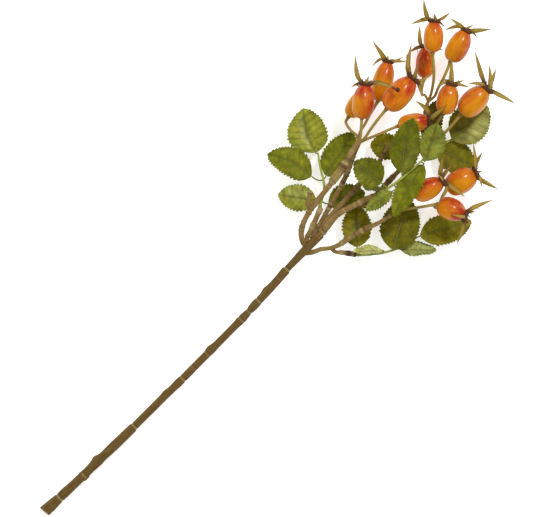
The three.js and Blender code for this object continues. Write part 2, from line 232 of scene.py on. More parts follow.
class Piece:
    """Collects grids of points with their values, and makes one object of them."""

    def __init__(self, name, material, slot, *nodes):
        self.name, self.material, self.slot, self.nodes = name, material, slot, nodes
        self.points, self.faces, self.values, self.count = [], [], [], 0

    def grid(self, points, **values):
        """Adds rows of points as one closed body: each row closes on itself, and both ends are capped."""
        points = np.asarray(points, float)
        rows, columns = points.shape[:2]
        flat = {}
        for key, value in values.items():
            wide = 3 if key in VECTORS else 1
            value = np.asarray(value, float).reshape(rows, columns, wide)
            flat[key] = np.concatenate([value.reshape(-1, wide), value[:1].mean(1), value[-1:].mean(1)])
        corners = np.concatenate([points.reshape(-1, 3), points[:1].mean(1), points[-1:].mean(1)])
        start, end = rows * columns, rows * columns + 1
        quads, caps = [], []
        for column in range(columns):
            beside = (column + 1) % columns
            for a in range(0, (rows - 1) * columns, columns):
                quads.append((a + column, a + beside, a + beside + columns, a + column + columns))
            caps.append((beside, column, start))
            caps.append((column + start - columns, beside + start - columns, end))
        step = 1 if enclosed(corners, quads) + enclosed(corners, caps) > 0 else -1
        self.faces += [tuple(index + self.count for index in face[::step]) for face in quads + caps]
        self.points.append(corners)
        self.values.append((len(corners), flat))
        self.count += len(corners)

    def make(self, sharp=None):
        mesh = bpy.data.meshes.new(self.name)
        points = np.concatenate(self.points)
        points[:, 2] = np.maximum(points[:, 2], 0)  # nothing goes through the table
        mesh.from_pydata(points.tolist(), [], self.faces)
        for key in sorted({key for size, values in self.values for key in values}):
            wide = 3 if key in VECTORS else 1
            data = np.concatenate([
                values.get(key, np.zeros((size, wide))) for size, values in self.values
            ])
            kind, field = ("FLOAT_VECTOR", "vector") if wide == 3 else ("FLOAT", "value")
            mesh.attributes.new(key, kind, "POINT").data.foreach_set(field, data.ravel().astype(np.float32))
        mesh.shade_smooth()
        if sharp:
            mesh.set_sharp_from_angle(angle=math.radians(sharp))
        mesh.materials.append(self.material)
        piece = add(self.name, mesh)
        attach(piece, "root")
        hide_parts(*self.nodes)


def tube(piece, centres, radii, sides, square=(0, 0, 1), shape=None, tint=None, closing=(), lean=None):
    """Adds a tube along a line. tint is one colour, or one for each point. shape(turn, row) scales the radius
    round it. closing adds rings to its far end, as (advance in mm, share of the radius, colour). lean(points)
    moves its points. grain follows the tube, for its material."""
    ahead, side, up = frames(centres, np.array(square, float))
    turns = round_turns(sides)
    scale = np.ones((len(centres), sides))
    if shape is not None:
        scale = np.array([[shape(turn, row) for turn in turns] for row in range(len(centres))])
    spread = side[:, None] * np.cos(turns)[None, :, None] + up[:, None] * np.sin(turns)[None, :, None]
    points = centres[:, None] + spread * (radii[:, None] * scale)[..., None]
    tints = np.broadcast_to(tint, (len(centres), 3))[:, None].repeat(sides, 1)
    along = list(lengths(centres))
    for advance, share, colour in closing:
        ring = centres[-1] + (points[len(centres) - 1] - centres[-1]) * share + ahead[-1] * advance * MM
        points = np.concatenate([points, ring[None]])
        tints = np.concatenate([tints, np.broadcast_to(colour, (1, sides, 3))])
        along.append(along[-1] + CAP_PITCH)
    if lean is not None:
        points = lean(points)
    grain = np.empty(points.shape)
    grain[..., 0], grain[..., 1] = np.cos(turns)[None], np.sin(turns)[None]
    grain[..., 2] = (np.array(along) / GRAIN_PITCH)[:, None]
    piece.grid(points, grain=grain, tint=tints)


# ---------- materials ----------


class Nodes:
    """One material's nodes, with short calls to add and join them."""

    def __init__(self, name, **shader):
        self.material = bpy.data.materials.new(name)
        self.material.use_nodes = True
        self.tree = self.material.node_tree
        self.shader = self.tree.nodes["Principled BSDF"]
        for socket, value in shader.items():
            self.shader.inputs[socket.replace("_", " ")].default_value = value

    def add(self, kind, output=0, sockets=(), **settings):
        node = self.tree.nodes.new("ShaderNode" + kind)
        for key, value in settings.items():
            setattr(node, key, value)
        for socket, value in dict(sockets).items():
            if isinstance(value, bpy.types.NodeSocket):
                self.tree.links.new(value, node.inputs[socket])
            else:
                node.inputs[socket].default_value = value
        return node.outputs[output]

    def value(self, name):
        return self.add("Attribute", "Fac", attribute_name=name)

    def vector(self, name):
        return self.add("Attribute", "Vector", attribute_name=name)

    def math(self, operation, a, b=0.0):
        return self.add("Math", 0, {0: a, 1: b}, operation=operation)

    def plus(self, a, b):
        return self.math("ADD", a, b)

    def times(self, value, by):
        return self.math("MULTIPLY", value, by)

    def fit(self, value, low, high, start=0.0, end=1.0):
        sockets = {"Value": value, "From Min": low, "From Max": high, "To Min": start, "To Max": end}
        return self.add("MapRange", 0, sockets)

    def swing(self, value, start, end):
        """From start to end over the range that a noise mostly keeps to."""
        return self.fit(value, 0.3, 0.7, start, end)

    def noise(self, vector, scale, detail=4.0, rough=0.55):
        sockets = {"Vector": vector, "Scale": scale, "Detail": detail, "Roughness": rough}
        return self.add("TexNoise", "Fac", sockets)

    def stretch(self, vector, by):
        return self.add("VectorMath", 0, {0: vector, 1: by}, operation="MULTIPLY")

    def mix(self, share, a, b):
        node = self.tree.nodes.new("ShaderNodeMix")
        node.data_type = "RGBA"
        for socket, value in ((0, share), (6, a), (7, b)):
            if isinstance(value, bpy.types.NodeSocket):
                self.tree.links.new(value, node.inputs[socket])
            else:
                node.inputs[socket].default_value = (*value, 1) if socket else value
        return node.outputs[2]

    def scale(self, colour, by):
        """A colour made lighter or darker."""
        return self.add("VectorMath", 0, {0: colour, "Scale": by}, operation="SCALE")

    def finish(self, colour, roughness=None, height=None, depth=0.2, strength=0.6):
        self.tree.links.new(colour, self.shader.inputs["Base Color"])
        if roughness is not None:
            self.tree.links.new(roughness, self.shader.inputs["Roughness"])
        if height is not None:
            normal = self.add(
                "Bump", 0, {"Strength": strength, "Distance": depth * MM, "Height": height})
            self.tree.links.new(normal, self.shader.inputs["Normal"])
        return self.material


RUST = rgb(124, 70, 34)
YELLOWED = rgb(130, 118, 10)
NET_GREEN = rgb(60, 62, 8)
# painted shade: colours for the creases beside the side veins and along the midrib
CREASE_SHADE_GREEN = rgb(58, 62, 8)
RIB_SHADE_GREEN = rgb(54, 58, 8)
VEIN_PALE = rgb(150, 152, 74)
RIB_PALE = rgb(140, 144, 66)
GOLD = rgb(214, 146, 10)
SPECK_GOLD = rgb(216, 140, 20)
FLECK_BROWN = rgb(78, 56, 34)


def bark_material():
    """Olive-brown bark, streaked lengthwise and rusty in places, with a tint of its own at each place."""
    nodes = Nodes("sprig_bark", Specular_IOR_Level=0.15)
    grain = nodes.vector("grain")
    streak = nodes.noise(nodes.stretch(grain, (4.2, 4.2, 0.3)), 1.7, 6, 0.7)
    fleck = nodes.noise(nodes.stretch(grain, (5, 5, 4)), 2.1, 4)
    patch = nodes.noise(nodes.stretch(grain, (1.2, 1.2, 0.5)), 1.3, 4, 0.6)
    colour = nodes.mix(nodes.fit(patch, 0.45, 0.65, 0.0, 0.35), nodes.vector("tint"), RUST)
    colour = nodes.scale(colour, nodes.fit(streak, 0.32, 0.68, 0.5, 1.55))
    colour = nodes.scale(colour, nodes.fit(fleck, 0.35, 0.68, 0.7, 1.32))
    rough = nodes.swing(streak, 0.8, 0.6)
    height = nodes.plus(nodes.times(streak, 0.8), nodes.times(fleck, 0.25))
    return nodes.finish(colour, rough, height, 0.6, 0.85)


def leaf_material():
    """Green blade: painted shade in the crease along the midrib and in the creases beside the side veins,
    faint side veins, a fine net between them, and mottling.
    across is 0 on the midrib and 1 at the margin. rung counts the side veins."""
    nodes = Nodes("sprig_leaf", Specular_IOR_Level=0.12)
    tint, across, rung = nodes.vector("tint"), nodes.value("across"), nodes.value("rung")
    spot = nodes.vector("grain")
    ladder = nodes.math("PINGPONG", rung, 0.5)
    side_line = nodes.fit(ladder, 0.0, 0.08, 1.0, 0.0)
    crease = nodes.fit(ladder, 0.02, 0.2, 1.0, 0.0)
    rib_line = nodes.fit(nodes.math("ABSOLUTE", across), 0.01, 0.04, 1.0, 0.0)
    rib_shade = nodes.fit(nodes.math("ABSOLUTE", across), 0.03, 0.14, 1.0, 0.0)
    net = nodes.add("TexVoronoi", "Distance", {"Vector": spot, "Scale": 0.8}, feature="DISTANCE_TO_EDGE")
    net_line = nodes.fit(net, 0.0, 0.14, 1.0, 0.0)
    broad = nodes.noise(spot, 0.14, 4, 0.6)
    warm = nodes.noise(nodes.stretch(spot, (1, 1, 0.7)), 0.2, 4, 0.6)
    mottle = nodes.noise(spot, 0.5, 5, 0.7)
    grain = nodes.noise(spot, 2.4, 3)
    colour = nodes.mix(nodes.fit(warm, 0.46, 0.66, 0.0, 0.4), tint, YELLOWED)
    colour = nodes.scale(colour, nodes.fit(broad, 0.32, 0.68, 0.64, 1.38))
    colour = nodes.scale(colour, nodes.fit(mottle, 0.32, 0.68, 0.86, 1.16))
    colour = nodes.scale(colour, nodes.swing(grain, 0.88, 1.12))
    for share, strength, paint in (
        (net_line, 0.18, NET_GREEN),
        # painted shade in the creases beside the side veins
        (crease, 0.32, CREASE_SHADE_GREEN),
        # painted shade along the crease of the midrib
        (rib_shade, 0.55, RIB_SHADE_GREEN),
        (side_line, 0.16, VEIN_PALE),
        (rib_line, 0.3, RIB_PALE),
    ):
        colour = nodes.mix(nodes.times(share, strength), colour, paint)
    rough = nodes.swing(grain, 0.42, 0.6)
    relief = nodes.plus(nodes.times(crease, -0.4), nodes.times(net_line, -0.3))
    relief = nodes.plus(relief, nodes.times(mottle, 0.5))
    return nodes.finish(colour, rough, relief, 0.35, 0.6)


def stalk_material():
    """Green to tan stalks with faint lengthwise lines."""
    nodes = Nodes("sprig_stalk", Specular_IOR_Level=0.2)
    grain = nodes.vector("grain")
    streak = nodes.noise(nodes.stretch(grain, (2.5, 2.5, 0.5)), 1.5, 5, 0.6)
    colour = nodes.scale(nodes.vector("tint"), nodes.swing(streak, 0.66, 1.3))
    return nodes.finish(colour, nodes.swing(streak, 0.6, 0.42), streak, 0.25, 0.6)


def hip_material():
    """Waxy skin: each hip's own flushed tint, with lengthwise streaks, fine speckles and a gloss."""
    nodes = Nodes(
        "sprig_hip", Specular_IOR_Level=0.1, Coat_Weight=0.4, Coat_Roughness=0.17, Coat_IOR=1.5)
    spot = nodes.vector("grain")
    streak = nodes.noise(nodes.stretch(spot, (1.5, 1.5, 0.3)), 1.0, 5, 0.62)
    cloud = nodes.noise(nodes.stretch(spot, (0.6, 0.6, 0.4)), 0.9, 4, 0.6)
    speck = nodes.add("TexVoronoi", "Distance", {"Vector": spot, "Scale": 1.1, "Randomness": 1.0})
    dot = nodes.fit(speck, 0.08, 0.2, 1.0, 0.0)
    colour = nodes.mix(nodes.fit(cloud, 0.42, 0.66, 0.0, 0.4), nodes.vector("tint"), GOLD)
    colour = nodes.scale(colour, nodes.swing(streak, 0.84, 1.12))
    colour = nodes.mix(nodes.times(dot, 0.2), colour, SPECK_GOLD)
    fine = nodes.noise(spot, 3.5, 3)
    rough = nodes.swing(streak, 0.34, 0.46)
    height = nodes.plus(nodes.times(fine, 0.3), nodes.times(streak, 0.7))
    return nodes.finish(colour, rough, height, 0.16, 0.4)


def sepal_material():
    """Dry olive-tan sepals, brown at the base and along the margins."""
    nodes = Nodes("sprig_sepal", Specular_IOR_Level=0.15)
    grain = nodes.vector("grain")
    streak = nodes.noise(nodes.stretch(grain, (3, 3, 0.8)), 1.4, 5, 0.65)
    fleck = nodes.noise(grain, 4.5, 3)
    colour = nodes.scale(nodes.vector("tint"), nodes.swing(streak, 0.66, 1.34))
    colour = nodes.mix(nodes.fit(fleck, 0.6, 0.74, 0.0, 0.4), colour, FLECK_BROWN)
    return nodes.finish(colour, nodes.swing(streak, 0.75, 0.55), streak, 0.3, 0.7)


BARK, LEAF, STALK = bark_material(), leaf_material(), stalk_material()
HIP, SEPAL = hip_material(), sepal_material()

# ---------- stem and branches ----------

STEM = rgb(104, 84, 42)
OLIVE = rgb(104, 84, 40)
TAUPE = rgb(138, 113, 64)
SHEATH = rgb(150, 136, 72)
TAN = rgb(158, 130, 84)
PALE_TAN = rgb(186, 164, 118)
DARK = rgb(56, 42, 32)
PITH = rgb(190, 160, 104)


def blend(a, b, share):
    """From colour a to colour b by a share at each place."""
    share = np.asarray(share, float)[..., None]
    return a * (1 - share) + b * share


def bark_shape(seed, ribs, depth):
    """Lengthwise ridges that wander a little."""
    def shape(turn, row):
        wander = 0.5 * ripple(seed, row * 0.03, 0)
        ridge = ripple(cos(turn + wander) * ribs, sin(turn + wander) * ribs, seed + row * 0.02)
        return 1 + depth * ridge
    return shape


BARK_SHARP = 50  # degrees between faces that stay a sharp edge

# Pale rings, as (mm from the cut end, strength).
SCARS = (
    (17, 0.75), (44, 0.5), (101, 0.6), (156, 0.55), (168, 0.2), (184, 0.25), (223, 0.5), (232, 0.35),
    (244, 0.55), (268, 0.15), (278, 0.65),
)
# Buds, as (mm from the cut end, side, height as a share of the radius).
BUDS = ((60, 1, 0.3), (138, 1, 0.2), (188, 1, 0.22), (254, 1, 0.24), (44, -1, 0.25))
BUD_HALF = 3.2  # half-length of a bud, in mm
STEM_STEP, STEM_SIDES = 0.6 * MM, 36
CUT_LEAN = 0.35  # how far the cut face leans along the stem
CUT_REACH = 6.0  # over how many mm the lean fades out


def main_stem():
    """The long stem: lengthwise ridges between ringed nodes, and a slanted cut face that shows the pith."""
    centres, radii = spine("main_stem")
    if centres[0][0] < centres[-1][0]:
        centres, radii = centres[::-1], radii[::-1]
    fine, width, at = resample(centres, radii, STEM_STEP)
    station = (at[-1] - at) / MM
    tint = STEM
    for scar, strength in SCARS:
        tint = blend(tint, PALE_TAN, strength * bump(station, scar, 0.55))
        tint = blend(tint, DARK, 0.5 * strength * bump(station, scar + 1.8, 0.8))
        lips = 0.4 * bump(station, scar - 1.6, 0.8) + 0.3 * bump(station, scar + 1.8, 0.7)
        width = width + MM * strength * lips
        width = width - MM * 0.3 * strength * bump(station, scar, 0.5)
    ridges = bark_shape(3.1, 2.6, 0.15)

    def shape(turn, row):
        buds = sum(
            height * bump(station[row], place, BUD_HALF) * max(0.0, sin(turn) * side) ** 3
            for place, side, height in BUDS)
        return ridges(turn, row) + buds

    piece = Piece("main_stem_bark", BARK, "stem_bark", "main_stem")
    cut = fine[-1]

    def slanted(points):
        back = bump((points[..., 0] - cut[0]) / MM, 0, CUT_REACH)
        rise, left = points[..., 2] - cut[2], points[..., 1] - cut[1]
        points[..., 0] += back * CUT_LEAN * (rise * 0.8 - left * 0.35)
        return points

    tube(piece, fine, width, STEM_SIDES, shape=shape, tint=tint, lean=slanted,
         closing=[(0, 0.94, TAN), (-0.15, 0.8, PITH), (-0.1, 0.42, PITH), (-0.5, 0.3, DARK)])
    piece.make(sharp=BARK_SHARP)
    return fine[::-1]


def nearest(points, target):
    return int(np.argmin(np.linalg.norm(points - target, axis=1)))


def graft(centres, radii, parent, back):
    """Carries a branch's start back mm into its parent, so that the two read as one growth."""
    root = nearest(parent, centres[0])
    along = lengths(parent)
    inside = int(np.argmin(np.abs(along - (along[root] - back * MM))))
    return np.vstack([parent[inside], centres]), np.concatenate([[radii[0]], radii])


LINES = {"main_stem": main_stem()}  # each stem's, branch's and stalk's middle line


def grown(node, parent, back, step):
    """A CAD tube's finer line from inside its parent, its radii, each point's share of it, and its length."""
    line = LINES[parent]
    centres, radii = spine(node)
    first, last = (np.linalg.norm(line - centres[end], axis=1).min() for end in (0, -1))
    if first > last:
        centres, radii = centres[::-1], radii[::-1]
    fine, width, at = resample(*graft(centres, radii, line, back), step)
    return fine, width, at / at[-1], at[-1]


ROUND, CUT, HOLLOW = "round", "cut", "hollow"
ENDINGS = {
    ROUND: [(share, math.sqrt(1 - share * share), None) for share in (0.5, 0.8, 0.95)],
    CUT: [(0.0, 0.93, None), (-0.1, 0.8, PITH), (-0.15, 0.35, PITH), (-0.4, 0.2, DARK)],
    HOLLOW: [(0.1, 0.95, None), (0.0, 0.72, None), (-1.6, 0.64, DARK), (-1.8, 0.3, DARK)],
}

# Branches: parent, how it ends, how far its start goes back into the parent, and marks as
# (share of the length, half-length, extra radius in mm, tint, strength).
BRANCHES = {
    "left_branch": ("main_stem", ROUND, 2.0, [
        (0.32, 0.008, 0.35, TAN, 0.6), (0.615, 0.012, 0.9, PALE_TAN, 0.9), (0.645, 0.022, 1.0, SHEATH, 0.95),
        (0.69, 0.03, 0.9, SHEATH, 0.9), (0.75, 0.03, 0.7, OLIVE, 0.5), (0.79, 0.01, 0.6, PALE_TAN, 0.8),
        (0.83, 0.012, 0.4, DARK, 0.5), (0.87, 0.02, 0.4, TAN, 0.5), (0.94, 0.012, 0.3, TAN, 0.6)]),
    "left_branch_stub": ("left_branch", CUT, 3.0, [
        (0.5, 0.1, -0.15, TAUPE, 0.2), (0.94, 0.06, 0.15, TAN, 0.7)]),
    "inner_branch": ("main_stem", ROUND, 6.0, [
        (0.36, 0.008, 0.45, PALE_TAN, 0.85), (0.385, 0.008, 0.2, DARK, 0.7),
        (0.6, 0.008, 0.5, PALE_TAN, 0.85), (0.63, 0.01, 0.25, DARK, 0.6),
        (0.7, 0.008, 0.35, TAN, 0.7), (0.84, 0.01, 0.3, DARK, 0.6)]),
    "left_leaf_spur": ("main_stem", HOLLOW, 5.0, [
        (0.55, 0.06, 0.3, TAN, 0.5), (0.92, 0.07, 0.4, PALE_TAN, 0.85)]),
    "middle_branch": ("main_stem", HOLLOW, 4.0, [
        (0.47, 0.01, 0.45, TAN, 0.7), (0.5, 0.01, 0.1, DARK, 0.5), (0.9, 0.012, 0.3, DARK, 0.7)]),
    "front_branch": ("main_stem", HOLLOW, 5.0, [
        (0.13, 0.012, 0.5, TAN, 0.7), (0.16, 0.012, 0.1, DARK, 0.6), (0.72, 0.014, 0.45, PALE_TAN, 0.6),
        (0.8, 0.03, 0.2, OLIVE, 0.7), (0.9, 0.014, 0.35, DARK, 0.7), (0.97, 0.02, 0.3, DARK, 0.95)]),
    "front_fork": ("front_branch", ROUND, 3.0, [
        (0.26, 0.01, 0.5, TAN, 0.7), (0.3, 0.012, 0.3, DARK, 0.7), (0.63, 0.012, 0.5, DARK, 0.9),
        (0.68, 0.01, 0.3, TAN, 0.6), (0.82, 0.012, 0.3, TAN, 0.6)]),
    "right_branch": ("main_stem", ROUND, 6.0, [
        (0.2, 0.01, 0.15, TAN, 0.5), (0.47, 0.012, 0.35, TAN, 0.6), (0.6, 0.012, 0.6, PALE_TAN, 0.85),
        (0.64, 0.01, 0.2, DARK, 0.5), (0.83, 0.01, 0.3, TAN, 0.6), (0.93, 0.012, 0.3, OLIVE, 0.7)]),
    "right_leaf_spur": ("right_branch", HOLLOW, 2.0, [
        (0.5, 0.03, 0.35, TAUPE, 0.3), (0.72, 0.14, 0.6, DARK, 0.95), (0.95, 0.06, 0.5, DARK, 0.9)]),
}


def closed_by(ending, radius, tint):
    """An ending's rings for a tube of this radius, with the tube's own tint where the ending has none."""
    reach = radius / MM if ending == ROUND else 1
    return [
        (advance * reach, narrow, tint if colour is None else colour)
        for advance, narrow, colour in ENDINGS[ending]]


KNOT_PITCH = 7 * MM  # of the small scars, on average
BRANCH_STEP, BRANCH_SIDES = 0.5 * MM, 24
SLIMMED = 0.9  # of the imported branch's radius, before its rings are added


def branch(node, parent, ending, back, marks, seed):
    """One branch, with its swollen rings, its joint with its parent and its end."""
    fine, width, share, length = grown(node, parent, back, BRANCH_STEP)
    colours = blend(STEM, TAUPE, ease(share, 0.0, 0.15))
    width = width * SLIMMED
    for place, spread, extra, colour, strength in marks:
        band = bump(share, place, spread)
        width = width + extra * MM * band
        colours = blend(colours, colour, strength * band)
    rng = random.Random(seed)
    for knot in range(int(length / KNOT_PITCH)):
        band = bump(share, rng.uniform(0.04, 0.96), rng.uniform(0.6, 1.3) * MM / length)
        width = width + rng.uniform(0.1, 0.4) * MM * band
        colours = blend(colours, rng.choice((TAN, PALE_TAN, DARK, OLIVE)), rng.uniform(0.3, 0.6) * band)
    closing = closed_by(ending, width[-1], colours[-1])
    piece = Piece(node + "_bark", BARK, "stem_bark", node)
    tube(piece, fine, width, BRANCH_SIDES, shape=bark_shape(seed, 2.0, 0.24), tint=colours, closing=closing)
    LINES[node] = fine
    piece.make(sharp=BARK_SHARP)


for number, (node, facts) in enumerate(BRANCHES.items()):
    branch(node, *facts, seed=7.7 * (number + 1))

# ---------- leaf stalks ----------

FRESH = rgb(152, 160, 62)
OLIVE_STALK = rgb(132, 128, 50)
LEAF_STALKS = {
    "left_leaf_stalk": ("left_leaf_spur", FRESH),
    "front_leaf_stalk": ("front_branch", rgb(160, 168, 78)),
    "back_leaf_stalk": ("front_fork", OLIVE_STALK),
    "right_leaf_stalk": ("right_leaf_spur", rgb(146, 154, 70)),
}


FINE_STEP = 0.8 * MM  # along leaf stalks and fruit stalks
GROOVE_DEPTH, GROOVE_HALF = 0.2, 0.5  # a share of the radius, and radians


def leaf_stalk(node, parent, tint):
    """A leaf's stalk, with its swollen foot and a groove along the top."""
    fine, width, share = grown(node, parent, 2.0, FINE_STEP)[:3]
    width = width * (1 + 0.5 * bump(share, 0.06, 0.05))
    colours = blend(tint, TAUPE, 0.7 * bump(share, 0.0, 0.08))
    colours = blend(colours, FRESH, 0.2 * share)
    piece = Piece(node + "_skin", STALK, "leaf_stalk", node)

    def groove(turn, row):
        return 1 - GROOVE_DEPTH * math.exp(-((min(turn, FULL_TURN - turn) / GROOVE_HALF) ** 2))

    closing = closed_by(ROUND, width[-1], colours[-1])
    tube(piece, fine, width, 16, shape=groove, tint=colours, closing=closing)
    LINES[node] = fine
    piece.make()


for node, (parent, tint) in LEAF_STALKS.items():
    leaf_stalk(node, parent, tint)

# ---------- leaflets ----------

DEEP = rgb(92, 96, 6)
MID = rgb(112, 117, 12)
LIGHT = rgb(140, 144, 42)
GREY = rgb(122, 130, 48)
BROWNISH = rgb(106, 98, 2)
GOLDEN = rgb(128, 119, 4)
# painted sheen: the pale colour of the sheen patches on the leaflets
SHEEN_PALE = rgb(178, 182, 108)
UNDER = rgb(142, 148, 78)

# Leaves: each leaflet's tint and its patch, as (place across, half-width, place along, half-length, tint,
# strength): painted sheen where the patch is paler than the leaflet, a darker tone where it is darker.
LEAVES = {
    "left": [
        (LIGHT, (0.2, 0.2, 0.45, 0.4, SHEEN_PALE, 0.7)),
        (MID, (-0.5, 0.35, 0.5, 0.4, LIGHT, 0.5)),
        (MID, (-0.6, 0.3, 0.4, 0.3, LIGHT, 0.6)),
        (LIGHT, (-0.4, 0.6, 0.5, 0.4, SHEEN_PALE, 0.5)),
        (MID, (0.5, 0.4, 0.5, 0.4, LIGHT, 0.5)),
    ],
    "front": [
        (DEEP, (0.6, 0.4, 0.4, 0.4, LIGHT, 0.35)),
        (DEEP, (-0.4, 0.5, 0.25, 0.3, GREY, 0.6)),
        (GREY, (0.2, 0.5, 0.4, 0.5, LIGHT, 0.3)),
        (MID, (0.5, 0.5, 0.75, 0.3, DEEP, 0.6)),
        (UNDER, (0.0, 1.0, 0.3, 0.4, SHEEN_PALE, 0.4)),
        (GREY, (0.5, 0.4, 0.5, 0.4, DEEP, 0.5)),
    ],
    "back": [
        (BROWNISH, (-0.6, 0.55, 0.55, 0.5, SHEEN_PALE, 0.75)),
        (BROWNISH, (0.4, 0.4, 0.5, 0.4, MID, 0.5)),
        (BROWNISH, (0.3, 0.5, 0.5, 0.4, DEEP, 0.5)),
    ],
    "right": [
        (GOLDEN, (0.0, 0.3, 0.35, 0.2, SHEEN_PALE, 0.6)),
        (rgb(198, 200, 122), None),
        (BROWNISH, (-0.6, 0.5, 0.5, 0.5, DEEP, 0.5)),
        (UNDER, (0.3, 0.5, 0.4, 0.4, SHEEN_PALE, 0.5)),
        (GOLDEN, (0.4, 0.4, 0.5, 0.4, MID, 0.5)),
    ],
    "middle": [
        (GOLDEN, (0.5, 0.5, 0.5, 0.4, MID, 0.4)),
    ],
}
STRAYS = {"back_leaflet_3": "front_fork", "middle_leaflet": "middle_branch"}  # off the leaf stalks

TOOTH = (0.0, 0.4, 0.75, 0.97, 1.0)  # how far the margin stands out, row by row over one tooth
TOOTH_PITCH, TOOTH_DEPTH, FEWEST_TEETH = 2.7 * MM, 1.3 * MM, 9
BLADE_COLUMNS, BLADE_BODY = 23, 0.34 * MM
SIDE_VEINS, VEIN_SLANT = 7.0, 0.2  # the slant is how far a side vein gains along the blade by the margin
QUILT, WAVE, TROUGH = 0.34 * MM, 0.7 * MM, 0.25 * MM  # relief between veins, along the margin, on the midrib
RIB_BELOW = 0.32 * MM  # how far the midrib runs below the blade's middle
LEAF_CROWN = 0.45 * MM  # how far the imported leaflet's top stands above its middle


def leaf_rows(node):
    """A leaflet's start and end, and its rows: middle, half-width vector, up, and the rise of its edges."""
    start, rings, end = lofted(node)
    if np.linalg.norm(rings[0].mean(0) - start) > np.linalg.norm(rings[-1].mean(0) - end):
        start, rings, end = end, rings[::-1], start
    ahead = unit(end - start)
    corners = []
    for ring in rings[1:]:
        k = int(np.argmax([np.linalg.norm(ring[k] - ring[k + 4]) for k in range(4)]))
        corners.append((ring[k], ring[k + 4], ring[(k + 2) % 8], ring[(k + 6) % 8]))
    lift = sum((a + b - c - d) / 2 for a, b, c, d in corners)
    up = unit(lift - ahead * lift.dot(ahead))
    across = np.cross(up, ahead)
    rows = []
    for a, b, c, d in corners:
        if (a - b).dot(across) < 0:
            a, b = b, a
        top, rib = (c, d) if (c - d).dot(up) > 0 else (d, c)
        own_up = unit(top - rib)
        centre = top - own_up * LEAF_CROWN
        rows.append((centre, (a - b) / 2, own_up, ((a + b) / 2 - centre).dot(own_up)))
    return start, rows, end


def leaf_reader(node):
    """A leaflet's start, its length, and read(key, place), which gives its centre, half-width, side, up or
    edge at places from 0 at its base to 1 at its tip."""
    start, rows, end = leaf_rows(node)
    lines = {
        "centre": np.array([row[0] for row in rows] + [end]),
        "half": np.array([np.linalg.norm(row[1]) for row in rows] + [0]),
        "side": np.array([unit(row[1]) for row in rows] + [unit(rows[-1][1])]),
        "up": np.array([row[2] for row in rows] + [rows[-1][2]]),
        "edge": np.array([row[3] for row in rows] + [0]),
    }
    at = lengths(lines["centre"])
    length = at[-1]
    at /= length

    def read(key, place, units=False):
        values = smooth(at, lines[key], place)
        return values / np.linalg.norm(values, axis=1)[:, None] if units else values

    return start, length, read


def blade(read, length, tint, sheen_and_tone_patch, rng, seed):
    """A blade's rows: top, underside, tint, side-vein count, place across, and place for its texture."""
    count = max(FEWEST_TEETH, int(round(length / TOOTH_PITCH))) * len(TOOTH)
    across = np.linspace(-1, 1, BLADE_COLUMNS)
    across = np.sign(across) * np.abs(across) ** 0.85
    out, hand = np.abs(across), np.sign(across)
    phase, second = rng.uniform(0, 6.28), rng.uniform(0, 6.28)
    shift = rng.uniform(-0.3, 0.3)
    rows = []
    for row in range(count + 1):
        t = row / count
        reach = sin(pi * t) ** 0.7
        place = np.clip(t + VEIN_SLANT * reach * out**0.9 * (1 - t * 0.6) - 0.03 * reach, 0, 1)
        if row % len(TOOTH) == 0:
            bite = rng.uniform(0.65, 1.25)
        tooth = TOOTH[row % len(TOOTH)] * bite - 0.45
        fade = float(ease(t, 0.04, 0.16) * (1 - ease(t, 0.985, 1.0)))
        half = np.maximum(read("half", place), 0.05 * MM)
        side, lift = read("side", place, units=True), read("up", place, units=True)
        wide = half * across + hand * out**6 * tooth * TOOTH_DEPTH * fade
        rung = t * SIDE_VEINS + np.where(across > 0, 0.45, 0.0) + shift
        fold = np.abs(np.mod(rung + 0.5, 1) - 0.5) * 2
        height = read("edge", place) * out - TROUGH * bump(across, 0, 0.1)
        height += QUILT * (np.sqrt(fold) - 0.5) * ease(out, 0.05, 0.3) * reach
        height += WAVE * across**2 * np.sin(t * 9 + phase + hand * second) * reach
        middle = read("centre", place) + side * wide[:, None] + lift * height[:, None]
        body = lift * BLADE_BODY / 2
        shade = tint
        # painted sheen: a paler patch stands in for the blade's sheen; where the patch's tint is darker, it
        # only darkens the blade there
        if sheen_and_tone_patch:
            out_at, half_wide, along_at, half_long, colour, strength = sheen_and_tone_patch
            spread = bump(across, out_at, half_wide) * bump(place, along_at, half_long)
            shade = blend(shade, colour, strength * spread)
        shade = blend(shade, DEEP, 0.35 * ease(out, 0.75, 1.0))
        spot = np.stack([wide / MM, place * length / MM, np.full(len(across), seed * 3.7)], 1)
        rows.append((middle + body, middle - body, shade, rung, across, spot))
    return [np.array(values) for values in zip(*rows)]


def midrib(piece, read, start, stalk_line):
    """A leaflet's own short stalk, from its leaf's stalk, and the midrib that it runs on into."""
    root = stalk_line[nearest(stalk_line, start)]
    rib_at = np.linspace(0.05, 0.93, 12)
    rib = read("centre", rib_at) - read("up", rib_at) * RIB_BELOW
    route = np.vstack([root, start * 0.5 + root * 0.5, start, read("centre", [0.0]), rib])
    route = route[np.concatenate([[True], np.linalg.norm(np.diff(route, axis=0), axis=1) > 1e-5])]
    radii = np.interp(np.linspace(0, 1, len(route)), [0, 0.3, 1], [0.62, 0.5, 0.14]) * MM
    fine, width, far = resample(route, radii, 0.9 * MM)
    colour = blend(FRESH, UNDER, ease(far / far[-1], 0.15, 0.4))
    tube(piece, fine, width, 8, tint=colour)


